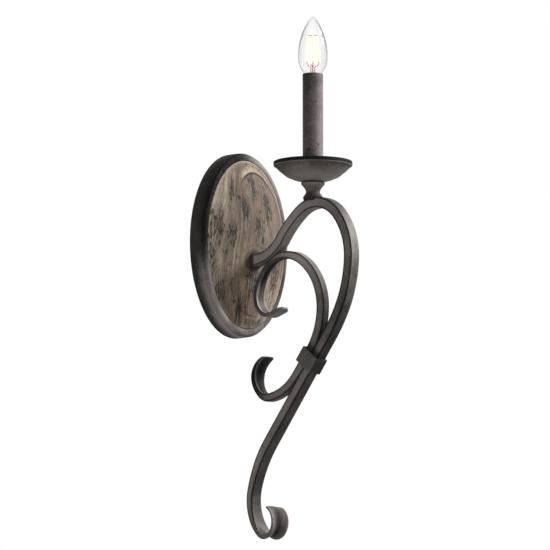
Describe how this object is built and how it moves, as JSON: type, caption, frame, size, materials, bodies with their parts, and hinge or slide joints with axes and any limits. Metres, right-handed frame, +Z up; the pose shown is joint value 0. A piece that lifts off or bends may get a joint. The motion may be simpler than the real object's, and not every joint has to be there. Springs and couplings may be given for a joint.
{
  "type": "wall lamp",
  "caption": "Wall lamp: an oval plate with a domed wood inlay carries a forged scroll arm, a drip cup and a candle sleeve with a clear pear-shaped filament bulb.",
  "frame": {"origin": "centre of the back plate's rear plane, on the wall", "axes": "+Y into the wall, so the lamp stands out along -Y; +Z up; +X to the right seen from the front"},
  "size_m": [0.146, 0.1996, 0.6131],
  "materials": {
    "pan_metal": "matte weathered dark zinc",
    "arm_metal": "matte weathered dark zinc",
    "cup_metal": "matte weathered dark zinc",
    "sleeve_metal": "matte weathered dark zinc",
    "driftwood": "weathered grey-brown, dry",
    "zinc_steel": "zinc plated",
    "green_steel": "green plated",
    "copper": "bare copper",
    "socket_black": "moulded thermoset",
    "shell_metal": "brass",
    "contact_metal": "tinned brass",
    "insulator_black": "vitrified black",
    "base_metal": "nickel plated",
    "clear_glass": "clear",
    "stem_glass": "clear with a coppery tint",
    "filament_glow": "yellow phosphor coating",
    "support_wire": "drawn wire",
    "black_lead": "flexible insulation",
    "white_lead": "flexible insulation",
    "connector_orange": "moulded"
  },
  "bodies": {
    "fixture": {"wall_pan": "pan_metal", "wood_inlay": "driftwood", "inlay_screws": "zinc_steel", "crossbar": "zinc_steel", "set_screws": "zinc_steel", "ground_screw": "green_steel", "earth_screw": "green_steel", "ground_lead": "copper", "foot_flange": "arm_metal", "arm_nipple": "zinc_steel", "arm_washer": "zinc_steel", "arm_lock_nut": "zinc_steel", "scroll_arm": "arm_metal", "side_scroll": "arm_metal", "collar": "arm_metal", "neck": "arm_metal", "drip_cup": "cup_metal", "neck_nipple": "zinc_steel", "cup_nut": "zinc_steel", "socket_bracket": "zinc_steel", "bracket_nut": "zinc_steel", "bracket_rivet": "zinc_steel", "socket_body": "socket_black", "socket_shell": "shell_metal", "socket_contact": "shell_metal", "live_lead": "black_lead", "neutral_lead": "white_lead", "wire_connectors": "connector_orange"},
    "bulb_carrier": {"bulb_contact": "contact_metal"},
    "bulb": {"bulb_glass": "clear_glass", "bulb_base": "base_metal", "bulb_insulator": "insulator_black", "bulb_stem": "stem_glass", "filaments": "filament_glow", "filament_wires": "support_wire"},
    "sleeve": {"candle_sleeve": "sleeve_metal"}
  },
  "joints": [
    {"name": "bulb_rise", "type": "slide", "parent": "fixture", "child": "bulb_carrier", "axis": [0, 0, 1], "range_m": [0, 0.01016]},
    {"name": "bulb_turn", "type": "hinge", "parent": "bulb_carrier", "child": "bulb", "pos_m": [0, -0.132, 0.2], "axis": [0, 0, 1], "range_deg": [0, 1440]},
    {"name": "sleeve_turn", "type": "hinge", "parent": "fixture", "child": "sleeve", "pos_m": [0, -0.132, 0.13], "axis": [0, 0, 1], "continuous": true}
  ],
  "couplings": [
    {"joint": "bulb_rise", "follows": "bulb_turn", "m_per_rad": 0.00040425}
  ]
}
